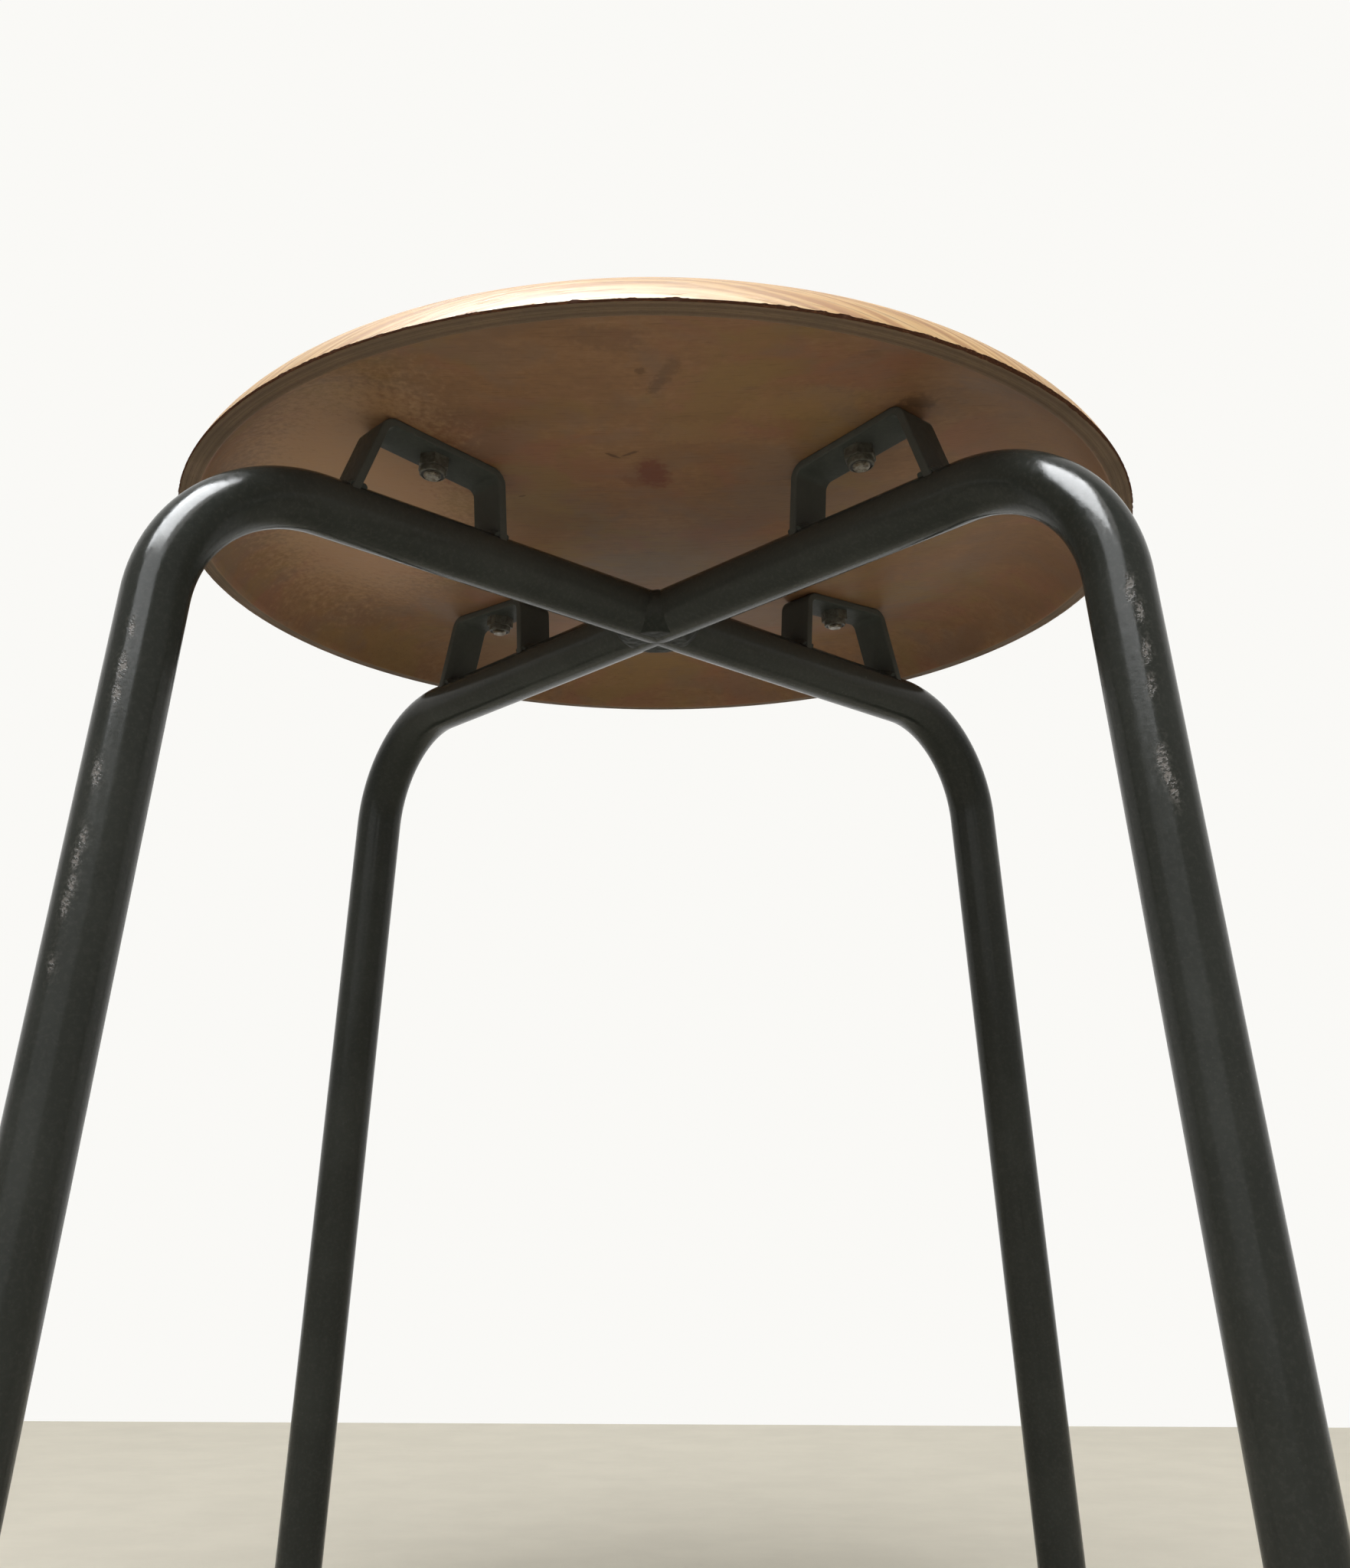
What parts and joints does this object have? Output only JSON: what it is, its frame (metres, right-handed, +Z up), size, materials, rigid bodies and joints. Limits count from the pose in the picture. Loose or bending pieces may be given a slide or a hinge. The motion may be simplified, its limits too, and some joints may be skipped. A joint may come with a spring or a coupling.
{
  "type": "stacking stool",
  "caption": "Round stool: dished plywood seat with a rolled rim, bolted to a crossed frame of bent steel tube with splayed legs.",
  "frame": {"origin": "on the floor, below the middle of the seat", "axes": "+Z up through the middle of the seat; the arms and legs lie on the diagonals between X and Y; -Y faces the picture's camera"},
  "size_m": [0.3599, 0.36, 0.45],
  "materials": {
    "face_veneer": "clear gloss lacquer",
    "core_plies": "sawn, dirtied edge",
    "underside_veneer": "brown stain, satin",
    "frame_paint": "gloss, chipped",
    "plated_steel": "dull zinc",
    "cap_rubber": "matt"
  },
  "bodies": {
    "root": {"seat_top_veneer": "face_veneer", "seat_core": "core_plies", "seat_underside_veneer": "underside_veneer", "through_tube": "frame_paint", "half_tube_front_right": "frame_paint", "half_tube_back_left": "frame_paint", "crossing_weld": "frame_paint", "bracket_back_right": "frame_paint", "bracket_weld_back_right": "frame_paint", "seat_bolt_back_right": "plated_steel", "seat_nut_back_right": "plated_steel", "foot_cap_back_right": "cap_rubber", "bracket_back_left": "frame_paint", "bracket_weld_back_left": "frame_paint", "seat_bolt_back_left": "plated_steel", "seat_nut_back_left": "plated_steel", "foot_cap_back_left": "cap_rubber", "bracket_front_left": "frame_paint", "bracket_weld_front_left": "frame_paint", "seat_bolt_front_left": "plated_steel", "seat_nut_front_left": "plated_steel", "foot_cap_front_left": "cap_rubber", "bracket_front_right": "frame_paint", "bracket_weld_front_right": "frame_paint", "seat_bolt_front_right": "plated_steel", "seat_nut_front_right": "plated_steel", "foot_cap_front_right": "cap_rubber"}
  },
  "joints": []
}
